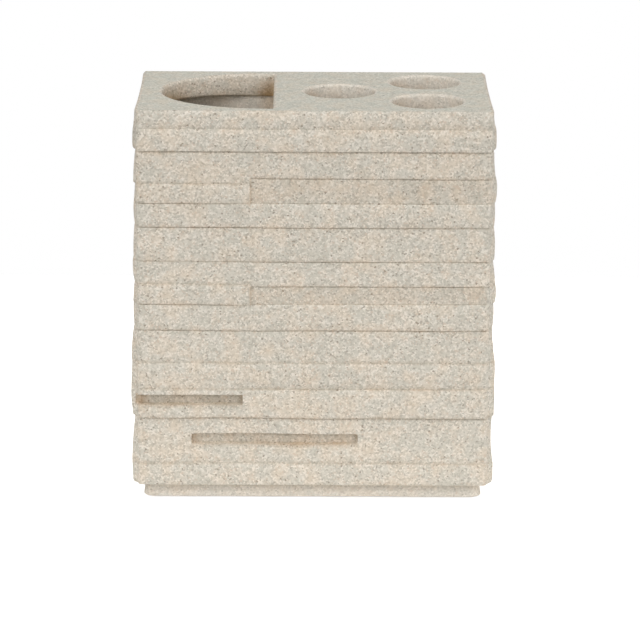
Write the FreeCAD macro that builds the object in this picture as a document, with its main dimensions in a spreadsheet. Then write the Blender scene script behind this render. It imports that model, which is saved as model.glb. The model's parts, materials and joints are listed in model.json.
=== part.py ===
# Toothbrush holder cast in sand-filled resin: a hollow shell of uneven stone courses, a lift-off cover
# with a tube opening and brush holes, a slide-in divider and a bonded plinth on soft pads.
# Millimetres, +Z up, front towards -Y, origin on the table under the middle of the holder.
import FreeCAD, Part
import math
import os
import Sketcher

doc = FreeCAD.newDocument("toothbrush_holder")

# Driving dimensions
sizes = {
    # brush holes: one in the middle and a pair beyond it, with the web between the pair
    "brush_radius": 11.0,
    "brush_stagger": 27.2,
    "brush_web": 8.2,
    # tube opening, a half oval with its flat side towards the brushes, and the bridge up to the middle hole
    "tube_reach": 35.1,
    "tube_straight": 2.4,
    "tube_corner_round": 1.2,
    "tube_bridge": 9.8,
    # ledges of the plate between the openings and the cavity's walls
    "tube_tip_ledge": 3.3,
    "tube_side_ledge": 0.7,
    "brush_end_ledge": 5.0,
    "brush_side_ledge": 1.9,
    # wall round the cavity, before the courses stand proud of it or behind it
    "wall": 4.3,
    "plan_corner": 2.0,
    "cavity_corner": 3.0,
    # plinth, the plug on it that closes the shell, and the bead that bonds them
    "plinth_inset": 2.2,
    "plinth_height": 4.2,
    "plinth_corner": 3.0,
    "plinth_edge_round": 0.6,
    "plug_height": 5.0,
    "plug_clearance": 0.3,
    "seal_thickness": 0.5,
    "seal_inset": 0.8,
    "seal_clearance": 0.15,
    # soft pads let into the underside of the plinth
    "pad_radius": 5.0,
    "pad_thickness": 1.6,
    "pad_stand": 0.6,
    "pad_clearance": 0.2,
    "pad_inset": 9.0,
    # spigot under the cover, which drops into a rebate in the mouth of the shell and centres the cover
    "spigot_thickness": 1.8,
    "spigot_depth": 3.0,
    "spigot_clearance": 0.4,
    "spigot_foot_gap": 0.3,
    # cover: a lower and an upper band round a thick plate
    "plate_thickness": 7.3,
    "cover_foot_round": 1.3,
    "cover_top_round": 0.5,
    "rim_round": 0.8,
    # divider between the tube bay and the brush bay
    "divider_thickness": 3.0,
    "groove_depth": 1.0,
    "groove_side_clearance": 0.2,
    "groove_end_clearance": 0.3,
    "divider_headroom": 0.3,
    # short blocks left standing in the two set-back courses
    "block_end_offset": 19.6,
    "block_proud": 0.5,
    "block_root": 3.0,
    "lower_block_rise": 0.4,
    "hanging_step_height": 2.0,
    "hanging_step_proud": 0.2,
    # slots cut in the lower courses
    "slot_depth": 1.4,
    "corner_slot_height": 3.0,
    "corner_slot_drop": 1.8,
    "corner_slot_end_offset": 22.1,
    "corner_slot_return": 4.0,
    "long_slot_height": 3.3,
    "long_slot_drop": 5.2,
    "long_slot_left": 38.1,
    "long_slot_right": 14.1,
    "shell_foot_round": 0.8,
}

# Courses of the shell from the plinth up: height, then how far the foot and the head of the course
# stand proud at the sides, and the same at the front and back
shell_courses = [
    (6.8, 0.9, 1.5, 0.4, 0.6),
    (15.1, 1.5, 0.8, 0.2, -0.4),
    (9.2, 1.2, 1.6, 0.5, 0.4),
    (8.5, 1.5, 1.5, -0.2, 0.4),
    (10.7, 1.5, 0.6, 0.1, -0.3),
    (8.3, 0.5, 0.7, 0.3, 0.1),
    (5.9, 0.9, 0.9, -0.6, -0.6),
    (7.9, 0.8, 0.6, 0.2, -0.2),
    (10.8, 0.6, 0.4, 0.2, -0.2),
    (7.5, 0.3, 0.5, 0.4, 0.1),
    (8.0, 0.5, 0.4, -0.6, -0.6),
    (8.5, 0.5, 0.0, 0.2, -0.5),
]
cover_bands = [
    (6.9, 0.8, 0.7, 0.5, 0.5),
    (5.8, 0.5, 0.0, 0.1, -0.3),
]
course_columns = ("height", "side_foot", "side_head", "front_foot", "front_head")
for prefix, rows in (("course", shell_courses), ("band", cover_bands)):
    for number, row in enumerate(rows, 1):
        for column, number_value in zip(course_columns, row):
            sizes[f"{prefix}_{number}_{column}"] = number_value

sheet = doc.addObject("Spreadsheet::Sheet", "sizes")
for line, (alias, number_value) in enumerate(sizes.items(), 1):
    sheet.set(f"A{line}", alias)
    sheet.set(f"B{line}", str(number_value))
    sheet.setAlias(f"B{line}", alias)
doc.recompute()


def cell(alias):
    """Expression that reads one driving dimension."""
    return f"sizes.{alias}"


def value(expression):
    """The number that an expression of driving dimensions gives."""
    return float(sheet.evalExpression(expression))


# Half sizes and levels that several pieces share, as expressions; the openings set the plan of the holder
cavity_width = " + ".join([
    cell("tube_tip_ledge"),
    cell("tube_reach"),
    cell("tube_bridge"),
    f"2 * {cell('brush_radius')}",
    cell("brush_stagger"),
    cell("brush_end_ledge"),
])
cavity_half_width = f"(({cavity_width}) / 2)"
cavity_half_depth = f"(2 * {cell('brush_radius')} + {cell('brush_web')} / 2 + {cell('brush_side_ledge')})"
half_width = f"({cavity_half_width} + {cell('wall')})"
half_depth = f"({cavity_half_depth} + {cell('wall')})"
tube_tip = f"({cell('tube_tip_ledge')} - {cavity_half_width})"
tube_flat = f"({tube_tip} + {cell('tube_reach')})"
tube_half_depth = f"({cavity_half_depth} - {cell('tube_side_ledge')})"
brush_middle_x = f"({tube_flat} + {cell('tube_bridge')} + {cell('brush_radius')})"
brush_pair_x = f"({brush_middle_x} + {cell('brush_stagger')})"
brush_pair_y = f"({cell('brush_radius')} + {cell('brush_web')} / 2)"
plinth_half_width = f"({half_width} - {cell('plinth_inset')})"
plinth_half_depth = f"({half_depth} - {cell('plinth_inset')})"
plinth_top = f"({cell('pad_stand')} + {cell('plinth_height')})"
shell_foot = f"({plinth_top} + {cell('seal_thickness')})"
plug_top = f"({plinth_top} + {cell('plug_height')})"


def course_head(number):
    """Level of the head of a shell course; course 0 is the foot of the shell."""
    heights = [cell(f"course_{below}_height") for below in range(1, number + 1)]
    return "(" + " + ".join([shell_foot] + heights) + ")"


seam = course_head(len(shell_courses))
spigot_foot = f"({seam} - {cell('spigot_depth')})"
rebate_floor = f"({spigot_foot} - {cell('spigot_foot_gap')})"
cover_top = f"({seam} + {cell('band_1_height')} + {cell('band_2_height')})"
plate_underside = f"({cover_top} - {cell('plate_thickness')})"


def new_body(label):
    """A body that makes one piece of the holder."""
    body = doc.addObject("PartDesign::Body", label)
    body.Label = label
    return body


def new_sketch(body, name, level):
    """A sketch on the body's own level plane, lifted to a level."""
    plane = next(item for item in body.Origin.OriginFeatures if item.Role == "XY_Plane")
    sketch = body.newObject("Sketcher::SketchObject", name)
    sketch.AttachmentSupport = [(plane, "")]
    sketch.MapMode = "FlatFace"
    sketch.setExpression("AttachmentOffset.Base.z", level)
    return sketch


def bind(sketch, constraint, expression):
    """Adds a constraint whose size follows an expression."""
    index = sketch.addConstraint(constraint)
    sketch.setExpression(f"Constraints[{index}]", expression)


def rounded_outline(sketch, half_x, half_y, radius):
    """A rectangle about the origin with equal corner arcs."""
    far_x, far_y, round_off = value(half_x), value(half_y), value(radius)
    near_x, near_y = far_x - round_off, far_y - round_off
    point = FreeCAD.Vector
    turn = math.pi / 2
    sides = [
        (point(-near_x, -far_y), point(near_x, -far_y), point(near_x, -near_y), -turn),
        (point(far_x, -near_y), point(far_x, near_y), point(near_x, near_y), 0.0),
        (point(near_x, far_y), point(-near_x, far_y), point(-near_x, near_y), turn),
        (point(-far_x, near_y), point(-far_x, -near_y), point(-near_x, -near_y), 2 * turn),
    ]
    first = sketch.GeometryCount
    for start, end, centre, angle in sides:
        corner = Part.Circle(centre, point(0, 0, 1), round_off)
        sketch.addGeometry(Part.LineSegment(start, end))
        sketch.addGeometry(Part.ArcOfCircle(corner, angle, angle + turn))
    lines = [first, first + 2, first + 4, first + 6]
    arcs = [first + 1, first + 3, first + 5, first + 7]
    for line, arc, next_line in zip(lines, arcs, lines[1:] + lines[:1]):
        sketch.addConstraint(Sketcher.Constraint("Tangent", line, 2, arc, 1))
        sketch.addConstraint(Sketcher.Constraint("Tangent", arc, 2, next_line, 1))
    for line, direction in zip(lines, ("Horizontal", "Vertical", "Horizontal", "Vertical")):
        sketch.addConstraint(Sketcher.Constraint(direction, line))
    for arc in arcs[1:]:
        sketch.addConstraint(Sketcher.Constraint("Equal", arcs[0], arc))
    sketch.addConstraint(Sketcher.Constraint("Symmetric", lines[0], 1, lines[2], 1, -1, 1))
    bind(sketch, Sketcher.Constraint("Radius", arcs[0], round_off), radius)
    bind(sketch, Sketcher.Constraint("DistanceX", -1, 1, lines[1], 1, far_x), half_x)
    bind(sketch, Sketcher.Constraint("DistanceY", -1, 1, lines[2], 1, far_y), half_y)


def polygon(sketch, corners):
    """A closed outline of straight lines through corners given as pairs of expressions."""
    places = [FreeCAD.Vector(value(x), value(y)) for x, y in corners]
    first = sketch.GeometryCount
    count = len(places)
    for start in range(count):
        sketch.addGeometry(Part.LineSegment(places[start], places[(start + 1) % count]))
    for start in range(count):
        following = first + (start + 1) % count
        sketch.addConstraint(Sketcher.Constraint("Coincident", first + start, 2, following, 1))
    for start, (x, y) in enumerate(corners):
        line = first + start
        bind(sketch, Sketcher.Constraint("DistanceX", -1, 1, line, 1, places[start].x), x)
        bind(sketch, Sketcher.Constraint("DistanceY", -1, 1, line, 1, places[start].y), y)


def circle(sketch, x, y, radius):
    """A circle whose centre and radius follow expressions."""
    centre = FreeCAD.Vector(value(x), value(y))
    index = sketch.addGeometry(Part.Circle(centre, FreeCAD.Vector(0, 0, 1), value(radius)))
    bind(sketch, Sketcher.Constraint("Radius", index, value(radius)), radius)
    bind(sketch, Sketcher.Constraint("DistanceX", -1, 1, index, 3, centre.x), x)
    bind(sketch, Sketcher.Constraint("DistanceY", -1, 1, index, 3, centre.y), y)


def pad(body, sketch, length):
    """Material added upwards from a level sketch."""
    feature = body.newObject("PartDesign::Pad", f"{sketch.Name}_pad")
    feature.Profile = sketch
    feature.setExpression("Length", length)
    doc.recompute()
    return feature


def pocket(body, sketch, depth, reverse):
    """Material cut away along the sketch's normal, or against it; it has to remove something."""
    before = body.Shape.Volume
    feature = body.newObject("PartDesign::Pocket", f"{sketch.Name}_cut")
    feature.Profile = sketch
    feature.Reversed = reverse
    feature.setExpression("Length", depth)
    doc.recompute()
    if not body.Shape.Volume < before:
        raise RuntimeError(f"{feature.Name} cuts nothing")
    return feature


def half_turn_copy(body, feature):
    """Repeats a feature half a turn round the holder, so that the back is laid like the front."""
    axis = next(item for item in body.Origin.OriginFeatures if item.Role == "Z_Axis")
    pattern = body.newObject("PartDesign::PolarPattern", f"{feature.Name}_round")
    pattern.Originals = [feature]
    pattern.Axis = (axis, [""])
    pattern.Angle = 360
    pattern.Occurrences = 2
    body.Tip = pattern
    doc.recompute()


def round_edges(body, name, radius, chosen):
    """Rounds the edges of the body whose bounding box passes a test."""
    base = body.Tip
    edges = [f"Edge{number}" for number, edge in enumerate(base.Shape.Edges, 1) if chosen(edge.BoundBox)]
    feature = body.newObject("PartDesign::Fillet", name)
    feature.Base = (base, edges)
    feature.setExpression("Radius", radius)
    doc.recompute()


touch = 1e-4  # places closer than this are taken as the same


def at_level(box, level):
    """True for an edge that lies in a level plane."""
    return abs(box.ZMin - level) < touch and abs(box.ZMax - level) < touch


def lay_courses(body, prefix, count, foot_level):
    """Stacks the courses of a body, each a loft from its foot outline to its head outline."""
    for number in range(1, count + 1):
        name = f"{prefix}_{number}"
        head_level = f"({foot_level} + {cell(f'{name}_height')})"
        outlines = []
        for end, level in (("foot", foot_level), ("head", head_level)):
            sketch = new_sketch(body, f"{name}_{end}", level)
            side = f"{half_width} + {cell(f'{name}_side_{end}')}"
            front = f"{half_depth} + {cell(f'{name}_front_{end}')}"
            rounded_outline(sketch, side, front, cell("plan_corner"))
            outlines.append(sketch)
        doc.recompute()
        course = body.newObject("PartDesign::AdditiveLoft", f"{name}_loft")
        course.Profile = outlines[0]
        course.Sections = outlines[1:]
        course.Ruled = True
        doc.recompute()
        foot_level = head_level


# Plinth: a low block set back under the shell, with a plug that rises inside the shell and is its floor
plinth = new_body("base_plinth")
plinth_plan = new_sketch(plinth, "plinth_plan", cell("pad_stand"))
rounded_outline(plinth_plan, plinth_half_width, plinth_half_depth, cell("plinth_corner"))
pad(plinth, plinth_plan, cell("plinth_height"))
plinth_bottom = value(cell("pad_stand"))
round_edges(plinth, "plinth_edge", cell("plinth_edge_round"), lambda box: at_level(box, plinth_bottom))
plug_half_width = f"({cavity_half_width} - {cell('plug_clearance')})"
plug_half_depth = f"({cavity_half_depth} - {cell('plug_clearance')})"
plug_corner = f"({cell('cavity_corner')} - {cell('plug_clearance')})"
plug_plan = new_sketch(plinth, "plug_plan", plinth_top)
rounded_outline(plug_plan, plug_half_width, plug_half_depth, plug_corner)
pad(plinth, plug_plan, cell("plug_height"))
pad_x = f"({plinth_half_width} - {cell('pad_inset')})"
pad_y = f"({plinth_half_depth} - {cell('pad_inset')})"
pad_places = {
    "foot_pad_front_left": (f"-{pad_x}", f"-{pad_y}"),
    "foot_pad_front_right": (pad_x, f"-{pad_y}"),
    "foot_pad_rear_left": (f"-{pad_x}", pad_y),
    "foot_pad_rear_right": (pad_x, pad_y),
}
pad_seats = new_sketch(plinth, "pad_seats", cell("pad_stand"))
for x, y in pad_places.values():
    circle(pad_seats, x, y, f"{cell('pad_radius')} + {cell('pad_clearance')}")
pocket(plinth, pad_seats, f"{cell('pad_thickness')} - {cell('pad_stand')}", True)

# Pads: round soft discs pressed flat against the bottoms of their seats
for label, (x, y) in pad_places.items():
    foot = new_body(label)
    disc = new_sketch(foot, f"{label}_disc", "0")
    circle(disc, x, y, cell("pad_radius"))
    pad(foot, disc, cell("pad_thickness"))

# Bead of sealant squeezed between the plinth and the foot of the shell, all round the plug
seal = new_body("base_seal")
seal_plan = new_sketch(seal, "seal_plan", plinth_top)
rounded_outline(
    seal_plan,
    f"{plinth_half_width} - {cell('seal_inset')}",
    f"{plinth_half_depth} - {cell('seal_inset')}",
    cell("plinth_corner"),
)
rounded_outline(
    seal_plan,
    f"{plug_half_width} + {cell('seal_clearance')}",
    f"{plug_half_depth} + {cell('seal_clearance')}",
    plug_corner,
)
pad(seal, seal_plan, cell("seal_thickness"))

# Shell: the stacked courses, on which blocks and slots follow, and the cavity right through them
shell = new_body("body_shell")
lay_courses(shell, "course", len(shell_courses), shell_foot)
foot_level = value(shell_foot)
round_edges(shell, "shell_foot_edge", cell("shell_foot_round"), lambda box: at_level(box, foot_level))

# Blocks standing proud of the two set-back courses, at the front left and behind at the right
block_right = f"-{cell('block_end_offset')}"
block_back = f"-({half_depth} - {cell('block_root')})"


def lay_block(name, course, foot, height, proud):
    """A short run of a course from the left side round the corner, which ends part way along the front."""
    left = f"-({half_width} + {cell(f'course_{course}_side_head')})"
    front = f"-({half_depth} + {proud})"
    plan = new_sketch(shell, name, foot)
    polygon(plan, [
        (left, f"{front} + {cell('plan_corner')}"),
        (f"{left} + {cell('plan_corner')}", front),
        (block_right, front),
        (block_right, block_back),
        (left, block_back),
    ])
    half_turn_copy(shell, pad(shell, plan, height))


upper_block_height = f"{cell('course_11_height')} - {cell('hanging_step_height')}"
lay_block("upper_block", 11, course_head(10), upper_block_height, cell("block_proud"))
step_foot = f"({course_head(11)} - {cell('hanging_step_height')})"
lay_block("hanging_step", 11, step_foot, cell("hanging_step_height"), cell("hanging_step_proud"))
lower_block_height = f"{cell('course_7_height')} + {cell('lower_block_rise')}"
lay_block("lower_block", 7, course_head(6), lower_block_height, cell("block_proud"))

# Slot that starts on the front and turns the left corner, and its twin behind
slot_floor = f"-({half_depth} - {cell('slot_depth')})"
side_floor = f"-({half_width} - {cell('slot_depth')})"
outside_left = f"-2 * {half_width}"
outside_front = f"-2 * {half_depth}"
return_end = f"-({half_depth} - {cell('corner_slot_return')})"
corner_slot_end = f"-{cell('corner_slot_end_offset')}"
corner_slot_top = f"({course_head(3)} - {cell('corner_slot_drop')})"
corner_slot = new_sketch(shell, "corner_slot", corner_slot_top)
polygon(corner_slot, [
    (outside_left, outside_front),
    (corner_slot_end, outside_front),
    (corner_slot_end, slot_floor),
    (side_floor, slot_floor),
    (side_floor, return_end),
    (outside_left, return_end),
])
half_turn_copy(shell, pocket(shell, corner_slot, cell("corner_slot_height"), False))

# Long slot in the second course, closed at both ends, and its twin behind
long_slot_top = f"({course_head(2)} - {cell('long_slot_drop')})"
long_slot = new_sketch(shell, "long_slot", long_slot_top)
polygon(long_slot, [
    (f"-{cell('long_slot_left')}", outside_front),
    (cell("long_slot_right"), outside_front),
    (cell("long_slot_right"), slot_floor),
    (f"-{cell('long_slot_left')}", slot_floor),
])
half_turn_copy(shell, pocket(shell, long_slot, cell("long_slot_height"), False))

# Cavity, the rebate in its mouth for the cover's spigot, and the two upright grooves that hold the divider
cavity_plan = new_sketch(shell, "cavity_plan", shell_foot)
rounded_outline(cavity_plan, cavity_half_width, cavity_half_depth, cell("cavity_corner"))
pocket(shell, cavity_plan, f"{seam} - {shell_foot}", True)
rebate_plan = new_sketch(shell, "rebate_plan", rebate_floor)
rebate_reach = f"{cell('spigot_thickness')} + {cell('spigot_clearance')}"
rounded_outline(
    rebate_plan,
    f"{cavity_half_width} + {rebate_reach}",
    f"{cavity_half_depth} + {rebate_reach}",
    f"{cell('cavity_corner')} + {rebate_reach}",
)
pocket(shell, rebate_plan, f"{seam} - {rebate_floor}", True)
divider_right = f"({tube_flat} + {cell('divider_thickness')})"
groove_left = f"({tube_flat} - {cell('groove_side_clearance')})"
groove_right = f"({divider_right} + {cell('groove_side_clearance')})"
groove_reach = f"({cavity_half_depth} + {cell('groove_depth')})"
groove_plan = new_sketch(shell, "groove_plan", plug_top)
polygon(groove_plan, [
    (groove_left, f"-{groove_reach}"),
    (groove_right, f"-{groove_reach}"),
    (groove_right, groove_reach),
    (groove_left, groove_reach),
])
pocket(shell, groove_plan, f"{rebate_floor} - {plug_top}", True)

# Divider: a cast panel dropped down the grooves on to the plug, its left face under the tube opening's flat
# side, with a narrower head that stands between the sides of the spigot
divider = new_body("divider_panel")
divider_reach = f"({groove_reach} - {cell('groove_end_clearance')})"
divider_plan = new_sketch(divider, "divider_plan", plug_top)
polygon(divider_plan, [
    (tube_flat, f"-{divider_reach}"),
    (divider_right, f"-{divider_reach}"),
    (divider_right, divider_reach),
    (tube_flat, divider_reach),
])
pad(divider, divider_plan, f"{rebate_floor} - {plug_top}")
head_reach = f"({cavity_half_depth} - {cell('groove_end_clearance')})"
head_plan = new_sketch(divider, "divider_head_plan", rebate_floor)
polygon(head_plan, [
    (tube_flat, f"-{head_reach}"),
    (divider_right, f"-{head_reach}"),
    (divider_right, head_reach),
    (tube_flat, head_reach),
])
pad(divider, head_plan, f"{plate_underside} - {cell('divider_headroom')} - {rebate_floor}")

# Cover: two bands like the courses and a spigot below them, hollowed from below to leave the plate
cover = new_body("top_cover")
lay_courses(cover, "band", len(cover_bands), seam)
seam_level = value(seam)
top_level = value(cover_top)
round_edges(cover, "cover_foot_edge", cell("cover_foot_round"), lambda box: at_level(box, seam_level))
round_edges(cover, "cover_top_edge", cell("cover_top_round"), lambda box: at_level(box, top_level))
spigot_plan = new_sketch(cover, "spigot_plan", spigot_foot)
rounded_outline(
    spigot_plan,
    f"{cavity_half_width} + {cell('spigot_thickness')}",
    f"{cavity_half_depth} + {cell('spigot_thickness')}",
    f"{cell('cavity_corner')} + {cell('spigot_thickness')}",
)
pad(cover, spigot_plan, cell("spigot_depth"))
hollow_plan = new_sketch(cover, "hollow_plan", spigot_foot)
rounded_outline(hollow_plan, cavity_half_width, cavity_half_depth, cell("cavity_corner"))
pocket(cover, hollow_plan, f"{plate_underside} - {spigot_foot}", True)

# Brush holes
brush_plan = new_sketch(cover, "brush_plan", cover_top)
for x, y in ((brush_middle_x, "0"), (brush_pair_x, f"-{brush_pair_y}"), (brush_pair_x, brush_pair_y)):
    circle(brush_plan, x, y, cell("brush_radius"))
pocket(cover, brush_plan, cell("plate_thickness"), False)

# Tube opening: the flat side, two short straights and half an oval
tube_plan = new_sketch(cover, "tube_plan", cover_top)
flat_x = value(tube_flat)
half = value(tube_half_depth)
middle = FreeCAD.Vector(flat_x - value(cell("tube_straight")), 0)
along = FreeCAD.Vector(middle.x - value(tube_tip), 0)
across = FreeCAD.Vector(0, half)
back_corner = FreeCAD.Vector(flat_x, half)
front_corner = FreeCAD.Vector(flat_x, -half)
lengthwise = along.Length >= across.Length
if lengthwise:
    oval = Part.Ellipse(middle + along, middle + across, middle)
else:
    oval = Part.Ellipse(middle + across, middle - along, middle)
turn_out, turn_in = oval.parameter(middle + across), oval.parameter(middle - across)
flat, back, arc, front, major, minor = range(6)
tube_plan.addGeometry(Part.LineSegment(front_corner, back_corner))
tube_plan.addGeometry(Part.LineSegment(back_corner, middle + across))
tube_plan.addGeometry(Part.ArcOfEllipse(oval, turn_out, turn_in))
tube_plan.addGeometry(Part.LineSegment(middle - across, front_corner))
tube_plan.exposeInternalGeometry(arc)
for first, second in ((flat, back), (back, arc), (arc, front), (front, flat)):
    tube_plan.addConstraint(Sketcher.Constraint("Coincident", first, 2, second, 1))
for direction, line in (("Vertical", flat), ("Horizontal", back), ("Horizontal", front)):
    tube_plan.addConstraint(Sketcher.Constraint(direction, line))
for end in (1, 2):
    tube_plan.addConstraint(Sketcher.Constraint("Vertical", arc, end, arc, 3))
tube_plan.addConstraint(Sketcher.Constraint("PointOnObject", arc, 3, -1))
tip_line = major if lengthwise else minor
tip_end = 2 if lengthwise else 1
tube_plan.addConstraint(Sketcher.Constraint("Horizontal", tip_line))
bind(tube_plan, Sketcher.Constraint("DistanceX", -1, 1, tip_line, tip_end, value(tube_tip)), tube_tip)
bind(tube_plan, Sketcher.Constraint("DistanceX", -1, 1, flat, 2, flat_x), tube_flat)
bind(tube_plan, Sketcher.Constraint("DistanceY", -1, 1, flat, 2, half), tube_half_depth)
bind(tube_plan, Sketcher.Constraint("DistanceX", back, 2, back, 1, flat_x - middle.x), cell("tube_straight"))
pocket(cover, tube_plan, cell("plate_thickness"), False)


def at_tube_corner(box):
    """True for the upright edges where the flat side meets the straights."""
    upright = box.XLength < touch and box.YLength < touch
    return upright and abs(box.XMin - flat_x) < touch and abs(abs(box.YMin) - half) < touch


def at_rim(box):
    """True for the edges of the openings in the top face."""
    inside_x = max(abs(box.XMin), abs(box.XMax)) < value(cavity_half_width)
    inside_y = max(abs(box.YMin), abs(box.YMax)) < value(cavity_half_depth)
    return at_level(box, top_level) and inside_x and inside_y


round_edges(cover, "tube_corners", cell("tube_corner_round"), at_tube_corner)
round_edges(cover, "opening_rims", cell("rim_round"), at_rim)

# Every object has to be sound before any piece is written
doc.recompute()
for item in doc.Objects:
    if "Invalid" in item.State or "Error" in item.State:
        raise RuntimeError(f"{item.Name} failed: {item.State}")
os.makedirs("parts", exist_ok=True)
pieces = [item for item in doc.Objects if item.TypeId == "PartDesign::Body"]
for piece in pieces:
    if piece.Shape.isNull() or not piece.Shape.isValid() or len(piece.Shape.Solids) != 1:
        raise RuntimeError(f"{piece.Label} is not one sound solid")
for piece in pieces:
    piece.Shape.exportStep(f"parts/{piece.Label}.step")
    print(f"{piece.Label}: {piece.Shape.Volume:.1f} mm3")
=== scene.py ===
import json
import math

import bmesh
import bpy
from mathutils import Matrix, Vector, noise


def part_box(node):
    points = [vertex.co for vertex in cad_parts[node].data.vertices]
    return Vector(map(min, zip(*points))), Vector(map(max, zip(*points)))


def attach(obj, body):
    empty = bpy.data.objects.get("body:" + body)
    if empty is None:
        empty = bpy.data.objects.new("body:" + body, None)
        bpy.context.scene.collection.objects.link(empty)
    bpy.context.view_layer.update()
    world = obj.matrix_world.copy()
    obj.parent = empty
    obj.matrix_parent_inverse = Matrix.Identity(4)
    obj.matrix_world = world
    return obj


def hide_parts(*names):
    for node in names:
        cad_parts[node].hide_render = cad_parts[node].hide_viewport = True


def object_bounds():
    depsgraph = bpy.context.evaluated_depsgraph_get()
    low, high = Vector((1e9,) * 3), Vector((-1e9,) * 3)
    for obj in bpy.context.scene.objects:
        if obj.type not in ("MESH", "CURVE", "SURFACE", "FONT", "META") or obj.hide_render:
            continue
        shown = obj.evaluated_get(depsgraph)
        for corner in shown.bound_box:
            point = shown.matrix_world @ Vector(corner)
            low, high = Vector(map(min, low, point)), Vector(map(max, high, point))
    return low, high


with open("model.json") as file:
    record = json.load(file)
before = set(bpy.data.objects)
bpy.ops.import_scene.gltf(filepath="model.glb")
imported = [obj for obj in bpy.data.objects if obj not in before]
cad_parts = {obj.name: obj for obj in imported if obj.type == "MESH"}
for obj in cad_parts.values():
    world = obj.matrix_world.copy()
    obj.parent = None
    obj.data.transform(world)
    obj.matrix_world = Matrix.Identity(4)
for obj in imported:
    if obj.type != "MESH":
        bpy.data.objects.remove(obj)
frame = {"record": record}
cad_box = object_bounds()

# Base plinth
# A low block set back under the holder, cast in polyester resin filled with sand in an open mould.
# Its plug stands inside the shell as the floor of the holder; a bead of sealant bonds the two.
MM = 0.001
scene = bpy.context.scene


def colour(code):
    """A linear colour from an sRGB hex value."""
    channels = [int(code[place:place + 2], 16) / 255 for place in (1, 3, 5)]
    linear = [tone / 12.92 if tone <= 0.04045 else ((tone + 0.055) / 1.055) ** 2.4 for tone in channels]
    return (*linear, 1.0)


def add_node(tree, kind, settings=None, inputs=None):
    """Adds a node with its settings; an input takes a value or the output that feeds it."""
    node = tree.nodes.new(kind)
    for name, setting in (settings or {}).items():
        setattr(node, name, setting)
    for name, source in (inputs or {}).items():
        if isinstance(source, bpy.types.NodeSocket):
            tree.links.new(source, node.inputs[name])
        else:
            node.inputs[name].default_value = source
    return node


def empty_material(name):
    """A material without nodes, and its node tree."""
    material = bpy.data.materials.new(name)
    material.use_nodes = True
    material.node_tree.nodes.clear()
    return material, material.node_tree


# Size of a grain, and shares of the sand by colour, from the scarce dark grains to the pale quartz
grain_size = 0.50
SAND = [
    (0.010, "#8A7F70"),
    (0.064, "#AAA194"),
    (0.045, "#C8B8A7"),
    (0.165, "#B9B2A5"),
    (0.310, "#CBC4B7"),
    (0.240, "#D7D0C4"),
    (0.166, "#E7E0D5"),
]


def sand_resin(name, film_and_painted_light, film_and_painted_light_colour, roughness, pit_depth):
    """Cast resin crowded with sand: grains of many tones, a few of them dark, and hardly any gloss."""
    material, tree = empty_material(name)
    place = add_node(tree, "ShaderNodeTexCoord").outputs["Object"]
    grains = add_node(tree, "ShaderNodeTexVoronoi", {}, {
        "Vector": place, "Scale": 1 / (grain_size * MM), "Randomness": 1.0})
    pick = add_node(tree, "ShaderNodeSeparateColor", {}, {"Color": grains.outputs["Color"]})
    ramp = add_node(tree, "ShaderNodeValToRGB", {}, {"Fac": pick.outputs["Red"]})
    ramp.color_ramp.interpolation = "CONSTANT"
    stops = ramp.color_ramp.elements
    stops.remove(stops[-1])
    start = 0.0
    for number, (share, code) in enumerate(SAND):
        stop = stops[0] if number == 0 else stops.new(start)
        stop.position = start
        stop.color = colour(code)
        start += share
    # Patches a few grains wide, some warmer and some greyer, as the mix was stirred
    patch_size = 5.0
    patch = add_node(tree, "ShaderNodeTexNoise", {}, {
        "Vector": place, "Scale": 1 / (patch_size * MM), "Detail": 2.0, "Roughness": 0.5})
    patch_strength = 0.42
    tinted = ramp.outputs["Color"]
    for none, full, tint in ((0.42, 0.72, "#DAC7AF"), (0.55, 0.28, "#BCBAAE")):
        share = add_node(tree, "ShaderNodeMapRange", {}, {
            "Value": patch.outputs["Fac"],
            "From Min": none, "From Max": full, "To Min": 0.0, "To Max": patch_strength})
        tinted = add_node(tree, "ShaderNodeMix", {"data_type": "RGBA"}, {
            0: share.outputs["Result"], 6: tinted, 7: colour(tint)}).outputs[2]
    # Resin that lies over the grains as a film; for the paler and the honed resin its colour is painted
    # light as well
    skin_coat = add_node(tree, "ShaderNodeMix", {"data_type": "RGBA"}, {
        0: film_and_painted_light, 6: tinted, 7: colour(film_and_painted_light_colour)})
    # Painted shade: a brown tint multiplied in where joints, recesses, slots and corners fall into shade
    painted_shade = add_node(tree, "ShaderNodeAttribute", {"attribute_name": "painted_shade"})
    with_painted_shade = add_node(tree, "ShaderNodeMix", {"data_type": "RGBA", "blend_type": "MULTIPLY"}, {
        0: painted_shade.outputs["Fac"], 6: skin_coat.outputs[2], 7: colour("#C9AE8A")})
    pits = add_node(tree, "ShaderNodeBump", {}, {
        "Strength": 0.6, "Distance": pit_depth * MM, "Height": grains.outputs["Distance"]})
    gloss = add_node(tree, "ShaderNodeMapRange", {}, {
        "Value": pick.outputs["Green"], "To Min": roughness - 0.12, "To Max": roughness + 0.08})
    shader = add_node(tree, "ShaderNodeBsdfPrincipled", {}, {
        "Base Color": with_painted_shade.outputs[2], "Roughness": gloss.outputs["Result"], "IOR": 1.52,
        "Normal": pits.outputs["Normal"]})
    add_node(tree, "ShaderNodeOutputMaterial", {}, {"Surface": shader.outputs["BSDF"]})
    return material


# A paler resin film over the grains, painted light that brightens the plinth under the shell and the
# walls inside the cover
painted_lighter_resin = sand_resin(
    "sand_resin_painted_lighter", film_and_painted_light=0.34, film_and_painted_light_colour="#EEE7DC", roughness=0.84, pit_depth=0.05)


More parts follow.
